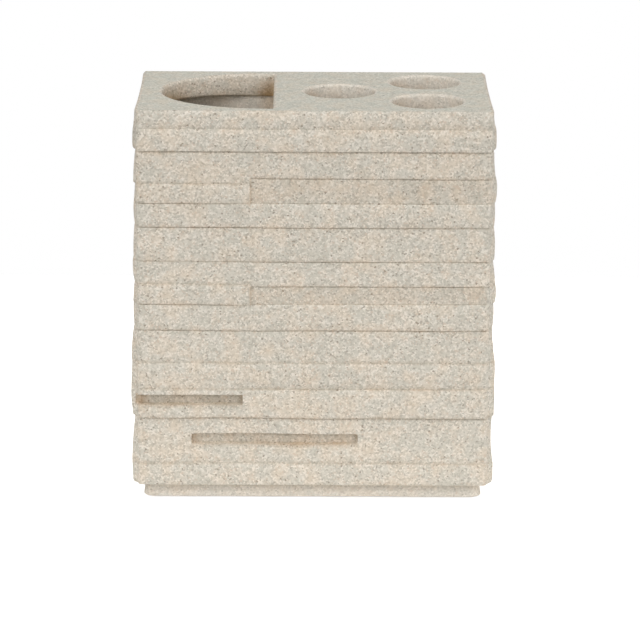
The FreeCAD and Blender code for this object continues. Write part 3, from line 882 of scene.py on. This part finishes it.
cavity = (cavity_x, cavity_y, cavity_corner)
mouth = (cavity_x + rebate, cavity_y + rebate, cavity_corner + rebate)
inner_rows = [
    plan_ring(shell_places, *mouth, seam),
    plan_ring(shell_places, *mouth, rebate_floor),
    plan_ring(shell_places, *cavity, rebate_floor, in_groove),
    plan_ring(shell_places, *cavity, (plug_top + rebate_floor) / 2, in_groove),
    plan_ring(shell_places, *cavity, plug_top, in_groove),
    plan_ring(shell_places, *cavity, groove_foot),
    plan_ring(shell_places, *cavity, shell_foot),
]
# Painted shade on the cavity's walls and on the divider, darker beside the divider where the corner falls
# into shade
cavity_painted_shade = 0.2
groove_painted_shade = 0.45
groove_reach = 7.0


def beside_divider(point):
    """The painted shade on an inner wall beside the divider, where the corner falls into shade."""
    return groove_painted_shade * near(divider_low.x, point.x, groove_reach)


inner_skin = add_rows(
    form, inner_rows, painted_shade=lambda number, at: cavity_painted_shade + beside_divider(inner_rows[number][at]))
bridge(form, outer[-1], inner_skin[0])
bridge(form, inner_skin[-1], outer[0])
shell_mesh = finish_mesh(form, "body_shell")
# Wiped after casting, the skin shows its grains almost bare
cast_resin = sand_resin(
    "cast_sand_resin", film_and_painted_light=0.10, film_and_painted_light_colour="#CDC5B8", roughness=0.84, pit_depth=0.05)
shell = cast_piece("shell_casting", shell_mesh, seed=11.0, cast=cast_resin)
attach(shell, "holder")
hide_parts("body_shell")

# Divider panel
# A flat panel cast in the same resin and dropped down the two grooves of the shell on to the plug.
# It keeps the tube apart from the brushes; its head is narrower, to stand inside the cover's spigot.
panel_thick = divider_high.x - divider_low.x
panel_middle = (divider_high.x + divider_low.x) / 2
panel_corner = 0.5
panel_edge = 0.4
panel_levels = (40.0, 75.0)
panel_relief = 0.2
panel_places = ring_places(even(4), 4, even(40))
head_gap = 0.3
head_reach = cavity_y - head_gap


def panel_ring(half_y, inward, level):
    """A closed row round the panel."""
    ring = plan_ring(panel_places, panel_thick / 2 - inward, half_y - inward, panel_corner, level)
    return [point + Vector((panel_middle, 0, 0)) for point in ring]


form = bmesh.new()
rounding = rounded_rise(panel_edge, edge_steps)
rows = [panel_ring(divider_high.y, inward, divider_low.z + rise) for inward, rise in rounding]
rows += [panel_ring(divider_high.y, 0, level) for level in (*panel_levels, rebate_floor)]
rows += [panel_ring(head_reach, 0, rebate_floor)]
rows += [panel_ring(head_reach, inward, divider_high.z - rise) for inward, rise in reversed(rounding)]
made = add_rows(form, rows, panel_relief, lambda number, at: cavity_painted_shade)
form.faces.new(made[0])
form.faces.new(made[-1])
divider = cast_piece("divider_casting", finish_mesh(form, "divider_panel"), seed=17.0, cast=cast_resin)
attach(divider, "holder")
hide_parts("divider_panel")

# Top cover
# The lift-off top: two bands like the courses round a thick plate, with a half-oval opening for the tube
# and three round ones for brushes. Cast face down in the same resin; the smooth top was then honed.
cover_top = node_box("top_cover")[1].z
# The bands from the seam up, given like the courses
COVER_BANDS = [
    (6.9, (0.45, 0.30), (0.0, 2.5), (1.2, 1.3, 1.1), (1.25, 1.4, 1.2)),
    (5.8, (0.10, 0.05), (2.4, 3.6), (1.0, 0.75, 0.55), (1.05, 0.45, 0.4)),
]
band_stack = lay(COVER_BANDS, seam)
cover_foot_round = 0.4
side_foot_round = 1.2
cover_top_round = 0.6
plate_thick = 7.3
plate_underside = cover_top - plate_thick
spigot = 1.8
spigot_height = 3.0
rim_round = 0.9
under_round = 1.0
side_hollow = 0.35


def cover_proud(place, level):
    """How far the cover's skin stands from the rounded rectangle at a place of the plan and a level."""
    face, share = place
    front_weight = front_share(place)
    proud = front_weight * face_profile(band_stack, level, lambda joint: 1.0)
    if face == "side":
        proud += side_profile(band_stack, level, (share + 1) / 2) - side_hollow * (1 - share ** 2)
    foot_rounding = side_foot_round + (cover_foot_round - side_foot_round) * front_weight
    return proud - round_off(level - seam, foot_rounding) - round_off(cover_top - level, cover_top_round)


rim_steps = 7


def edge_levels(level, radius, way):
    """Levels that follow a rounded edge, from the edge itself to the plain face."""
    turns = [step * math.pi / 2 / rim_steps for step in range(rim_steps + 1)]
    return [level + way * radius * (1 - math.cos(turn)) for turn in turns]


cover_places = ring_places(even(60), corner_steps, even(30))
band_step = 0.6
band_joint = band_stack[1][0]
foot_levels = edge_levels(seam, cover_foot_round, 1)[:-1]
plain_levels = spread(
    seam + cover_foot_round, cover_top - cover_top_round, band_step, [band_joint], near_joint)
top_levels = edge_levels(cover_top, cover_top_round, -1)[-2::-1]
cover_levels = foot_levels + plain_levels + top_levels
form = bmesh.new()
cover_rows = skin_rows(cover_places, cover_levels, cover_proud)
band_painted_shade = 0.06
band_reach = 1.6


def cover_row_painted_shade(number, at):
    """The cover's painted shade at a point of a row: over the seam and along the joint of the bands."""
    level = cover_levels[number]
    return band_painted_shade * max(near(edge, level, band_reach) for edge in (seam, band_joint))


# The rounded top edge is honed with the top and keeps neither relief nor painted shade
cover_relief = 0.8
cast_count = len(cover_levels) - len(top_levels) - 1
outer = add_rows(form, cover_rows[:cast_count], cover_relief, cover_row_painted_shade)
top_edge = add_rows(form, cover_rows[cast_count:])
bridge(form, outer[-1], top_edge[0])
spigot_foot = seam - spigot_height
spigot_out = (cavity_x + spigot, cavity_y + spigot, cavity_corner + spigot)
inner_rows = [
    plan_ring(cover_places, *spigot_out, seam),
    plan_ring(cover_places, *spigot_out, spigot_foot),
    plan_ring(cover_places, *cavity, spigot_foot),
    plan_ring(cover_places, *cavity, plate_underside),
]
inner_skin = add_rows(
    form, inner_rows, painted_shade=lambda number, at: beside_divider(inner_rows[number][at]))
bridge(form, inner_skin[0], outer[0])

tube_reach = 35.1
tube_ledge = 0.7
tube_straight = 2.4
tube_corner = 1.2
tube_flat = divider_low.x
tube_tip = tube_flat - tube_reach
tube_half = cavity_y - tube_ledge
round_steps = 72


def arc(x, y, half_x, half_y, start, stop, steps):
    """Points along an ellipse round a centre, from one angle in degrees to another."""
    turns = [math.radians(start + (stop - start) * step / steps) for step in range(steps + 1)]
    return [Vector((x + half_x * math.cos(turn), y + half_y * math.sin(turn))) for turn in turns]


def tube_outline():
    """The half oval of the tube opening: its flat side, two rounded corners and half an ellipse."""
    outline = []
    for way, start in ((-1, -90), (1, 0)):
        outline += arc(tube_flat - tube_corner, way * (tube_half - tube_corner),
                       tube_corner, tube_corner, start, start + 90, corner_steps)
    middle = tube_flat - tube_straight
    outline += arc(middle, 0, middle - tube_tip, tube_half, 90, 270, round_steps)
    return outline


def round_hole(x, y, radius):
    """The outline of a round opening."""
    return arc(x, y, radius, radius, 0, 360, round_steps)[:-1]


def grown(outline, by):
    """A closed outline moved outwards by a distance."""
    count = len(outline)
    moved = []
    for at, point in enumerate(outline):
        run = outline[(at + 1) % count] - outline[at - 1]
        moved.append(point + by * Vector((run.y, -run.x)).normalized())
    return moved


def ends_of(outline):
    """The left and right end of an outline."""
    across = [point.x for point in outline]
    return min(across), max(across)


# Painted shade on the walls of the openings, darker at their lower edge and ends where less light reaches
wall_painted_shade = 0.34
tip_painted_shade = 1.2
tip_share = 0.3


def opening_painted_shade(point, outline, corner_reach):
    """How much painted shade darkens the wall of an opening: more towards its lower edge and its two
    ends.
    """
    left, right = ends_of(outline)
    drop = (cover_top - point.z) / plate_thick
    tip = near(left, point.x, tip_share * (right - left)) + near(right, point.x, corner_reach)
    return min(drop * (wall_painted_shade * drop + tip_painted_shade * tip), 1.0)


brush_radius = 11.0
mounts = frame["record"]["mounts"]
brush_holes = [mount["pos_m"] for mount in mounts if mount["name"].startswith("brush_hole")]
# How far the painted shade reaches from the right end of an opening, and how much thinner the plate is at
# the tube's tip
tube_corner_reach = 8.0
brush_corner_reach = 1.0
tip_thinning = 1.1
flat_side_share = 0.3
openings = [(tube_outline(), tube_corner_reach, tip_thinning)]
for x, y, _ in brush_holes:
    openings.append((round_hole(x / MM, y / MM, brush_radius), brush_corner_reach, 0.0))
honed_layer = form.faces.layers.bool.new("honed")
painted_lighter_layer = form.faces.layers.bool.new("painted_lighter")
top_loops = [top_edge[-1]]
under_loops = [inner_skin[-1]]


def wall_rows(outline, thinning):
    """Rows of points down the wall of an opening, from its rounded rim to its rounded lower edge.

    Where the plate thins towards the left end, the lower edge is rounded less towards the right end."""
    left, right = ends_of(outline)
    stood = []
    for inward, rise in rounded_rise(rim_round, rim_steps):
        stood.append([Vector((*point, cover_top - rise)) for point in grown(outline, inward)])
    stood.append([Vector((*point, (cover_top + plate_underside) / 2)) for point in outline])
    for inward, rise in reversed(rounded_rise(under_round, edge_steps)):
        row = []
        for point, moved in zip(outline, grown(outline, inward)):
            leftness = ease(right, left, point.x)
            share = flat_side_share + (1 - flat_side_share) * leftness if thinning else 1.0
            level = plate_underside + share * rise + thinning * leftness
            row.append(Vector((*point.lerp(moved, share), level)))
        stood.append(row)
    return stood


def mark_painted_lighter(rows):
    """Marks the faces between rows for the paler resin, painted light that brightens them."""
    for face in {face for row in rows for vertex in row for face in vertex.link_faces}:
        face[painted_lighter_layer] = True


# The cover's inner walls are painted lighter too
mark_painted_lighter(inner_skin)
for outline, corner_reach, thinning in openings:
    rows = wall_rows(outline, thinning)
    made = add_rows(
        form, rows, painted_shade=lambda number, at: opening_painted_shade(rows[number][at], outline, corner_reach))
    # The round holes' walls are painted lighter, for the light that reaches into them; the tube's wall
    # takes the outside's resin
    if not thinning:
        mark_painted_lighter(made)
    top_loops.append(made[0])
    under_loops.append(made[-1])

for loops, honed in ((top_loops, True), (under_loops, False)):
    edges = [form.edges.get((loop[at - 1], loop[at])) for loop in loops for at in range(len(loop))]
    filled = bmesh.ops.triangle_fill(form, use_beauty=True, edges=edges)
    for item in filled["geom"]:
        if isinstance(item, bmesh.types.BMFace):
            item[honed_layer] = honed
cover_mesh = finish_mesh(form, "top_cover")
# Honed flat, the top shows cut grains under a greyish green film, painted cool light from above, and is a
# little glossier
honed_resin_painted_cool = sand_resin(
    "honed_sand_resin_painted_cool", film_and_painted_light=0.25, film_and_painted_light_colour="#A4AFA2", roughness=0.62, pit_depth=0.01)
cover = cast_piece("cover_casting", cover_mesh, seed=23.0, cast=cast_resin,
                   honed=honed_resin_painted_cool, painted_lighter=painted_lighter_resin)
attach(cover, "cover")
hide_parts("top_cover")

# Stage
# A plain pale floor under soft light from all round, with the camera where the photograph was taken.
# The floor looks white to the camera but keeps the shadow that the holder casts on it.
scene.view_settings.view_transform = "Standard"
floor_reach = 0.25
floor_mesh = bpy.data.meshes.new("floor")
floor_mesh.from_pydata([
    (-floor_reach, -floor_reach, 0), (floor_reach, -floor_reach, 0),
    (floor_reach, floor_reach, 0), (-floor_reach, floor_reach, 0)], [], [(0, 1, 2, 3)])
floor = bpy.data.objects.new("floor", floor_mesh)
scene.collection.objects.link(floor)


def seen_directly(tree):
    """1 for what the camera, a reflection or a clear piece shows of the stage, 0 for light on a piece."""
    path = add_node(tree, "ShaderNodeLightPath").outputs
    mirror = add_node(tree, "ShaderNodeMath", {"operation": "MAXIMUM"}, {
        0: path["Is Camera Ray"], 1: path["Is Glossy Ray"]})
    return add_node(tree, "ShaderNodeMath", {"operation": "MAXIMUM"}, {
        0: mirror.outputs[0], 1: path["Is Transmission Ray"]}).outputs[0]


floor_lift = 0.72


def floor_paint():
    """Matt white paint, with a lift that turns the lit floor white for the camera."""
    material, tree = empty_material("matt_white_floor")
    paint = add_node(tree, "ShaderNodeBsdfDiffuse", {}, {"Color": colour("#F2F1EF")})
    lift = add_node(tree, "ShaderNodeMath", {"operation": "MULTIPLY"}, {
        0: seen_directly(tree), 1: floor_lift})
    glow = add_node(tree, "ShaderNodeEmission", {}, {"Strength": lift.outputs[0]})
    both = add_node(tree, "ShaderNodeAddShader", {}, {0: paint.outputs[0], 1: glow.outputs[0]})
    add_node(tree, "ShaderNodeOutputMaterial", {}, {"Surface": both.outputs[0]})
    return material


floor.data.materials.append(floor_paint())
world = bpy.data.worlds.new("studio")
scene.world = world
world.use_nodes = True
world_tree = world.node_tree
world_tree.nodes.clear()
fill_strength = 0.10
backdrop_strength = 1.0
strength = add_node(world_tree, "ShaderNodeMix", {"data_type": "FLOAT"}, {
    0: seen_directly(world_tree), 2: fill_strength, 3: backdrop_strength})
sky = add_node(world_tree, "ShaderNodeBackground", {}, {
    "Color": colour("#FFFFFF"), "Strength": strength.outputs[0]})
add_node(world_tree, "ShaderNodeOutputWorld", {}, {"Surface": sky.outputs[0]})

lamp_reach = 1.7
lamp_aim = Vector((0.0, 0.0, 0.06))


def softbox(name, azimuth, elevation, size, power):
    """A square lamp with a diffuser, turned to the holder; azimuth 0 is in front, 90 at the right."""
    lamp = bpy.data.lights.new(name, "AREA")
    lamp.shape = "SQUARE"
    lamp.size = size
    lamp.energy = power
    round_by = math.radians(azimuth)
    up_by = math.radians(elevation)
    level_reach = math.cos(up_by)
    away = Vector((
        level_reach * math.sin(round_by), -level_reach * math.cos(round_by), math.sin(up_by)))
    stand = bpy.data.objects.new(name, lamp)
    scene.collection.objects.link(stand)
    stand.visible_glossy = False
    place = Matrix.Translation(lamp_aim + lamp_reach * away)
    stand.matrix_world = place @ away.to_track_quat("Z", "Y").to_matrix().to_4x4()


# Name, azimuth and elevation in degrees, size in metres and power in watts
SOFTBOXES = [
    ("left_softbox", -50, 40, 1.4, 20.6),
    ("right_softbox", 50, 40, 1.4, 11.5),
    ("front_card", 0, 12, 0.6, 4.4),
    ("right_card", 80, 15, 0.8, 8.0),
    ("back_softbox", 180, 8, 0.5, 18.0),
]
for lamp in SOFTBOXES:
    softbox(*lamp)

camera_data = bpy.data.cameras.new("camera")
camera_data.sensor_width = 36.0
camera_data.lens = 193.7
camera = bpy.data.objects.new("camera", camera_data)
scene.collection.objects.link(camera)
eye_left = 4.69
eye_front = 1066.25
eye_above_top = 214.77
eye = Vector((-eye_left, -eye_front, cad_box[1][2] / MM + eye_above_top)) * MM
pitch = 0.2652
yaw = 0.0065
roll = 0.0061
camera.matrix_world = (
    Matrix.Translation(eye)
    @ Matrix.Rotation(-yaw, 4, "Z")
    @ Matrix.Rotation(math.pi / 2 - pitch, 4, "X")
    @ Matrix.Rotation(roll, 4, "Z")
)
scene.camera = camera
